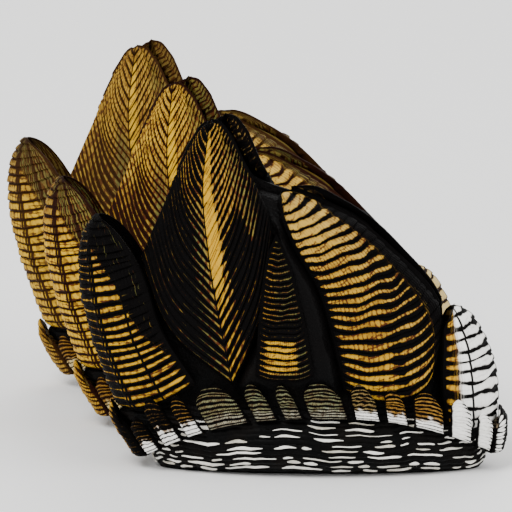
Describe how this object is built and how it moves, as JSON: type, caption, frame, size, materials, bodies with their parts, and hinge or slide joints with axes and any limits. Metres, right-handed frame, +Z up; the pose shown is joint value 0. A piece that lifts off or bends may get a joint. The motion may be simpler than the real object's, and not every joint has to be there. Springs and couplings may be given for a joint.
{
  "type": "goose barnacle cluster",
  "caption": "Cluster of flattened goose barnacles in ranks, each shut in by ribbed ochre shell plates over a dark leathery stalk, cut flat where it grew on rock.",
  "frame": {"origin": "bottom centre of the cluster's box, on the middle barnacle's cut foot", "axes": "+X from the carina end to the rostrum end, +Y from the front rank to the rear rank, +Z up"},
  "size_m": [0.0558, 0.0582, 0.0402],
  "materials": {
    "front_shell": "dark-stained ochre shell with raised growth lines",
    "middle_shell": "ochre shell with brown growth lines",
    "rear_shell": "soft ochre shell with sepia growth lines",
    "bone_shell": "chalky bone-white shell with ladder ribs",
    "whorl_shell": "grey-green small plates, paler at the foot",
    "stalk_skin": "dark damp leathery skin with pale scales"
  },
  "bodies": {
    "root": {"front_stalk": "stalk_skin", "front_carina": "front_shell", "front_rostrum": "bone_shell", "front_tergum_near": "front_shell", "front_tergum_far": "front_shell", "front_scutum_near": "front_shell", "front_scutum_far": "front_shell", "front_upper_latus_near": "front_shell", "front_upper_latus_far": "front_shell", "front_subcarina": "front_shell", "front_subrostrum": "bone_shell", "front_whorl_near_1": "whorl_shell", "front_whorl_near_2": "whorl_shell", "front_whorl_near_3": "whorl_shell", "front_whorl_near_4": "whorl_shell", "front_whorl_far_1": "whorl_shell", "front_whorl_far_2": "whorl_shell", "front_whorl_far_3": "whorl_shell", "front_whorl_far_4": "whorl_shell", "middle_stalk": "stalk_skin", "middle_carina": "middle_shell", "middle_rostrum": "bone_shell", "middle_tergum_near": "middle_shell", "middle_tergum_far": "middle_shell", "middle_scutum_near": "middle_shell", "middle_scutum_far": "middle_shell", "middle_upper_latus_near": "middle_shell", "middle_upper_latus_far": "middle_shell", "middle_subcarina": "middle_shell", "middle_subrostrum": "bone_shell", "middle_whorl_near_1": "whorl_shell", "middle_whorl_near_2": "whorl_shell", "middle_whorl_near_3": "whorl_shell", "middle_whorl_near_4": "whorl_shell", "middle_whorl_far_1": "whorl_shell", "middle_whorl_far_2": "whorl_shell", "middle_whorl_far_3": "whorl_shell", "middle_whorl_far_4": "whorl_shell", "rear_stalk": "stalk_skin", "rear_carina": "rear_shell", "rear_rostrum": "bone_shell", "rear_tergum_near": "rear_shell", "rear_tergum_far": "rear_shell", "rear_scutum_near": "rear_shell", "rear_scutum_far": "rear_shell", "rear_upper_latus_near": "rear_shell", "rear_upper_latus_far": "rear_shell", "rear_subcarina": "rear_shell", "rear_subrostrum": "bone_shell", "rear_whorl_near_1": "whorl_shell", "rear_whorl_near_2": "whorl_shell", "rear_whorl_near_3": "whorl_shell", "rear_whorl_near_4": "whorl_shell", "rear_whorl_far_1": "whorl_shell", "rear_whorl_far_2": "whorl_shell", "rear_whorl_far_3": "whorl_shell", "rear_whorl_far_4": "whorl_shell"}
  },
  "joints": []
}
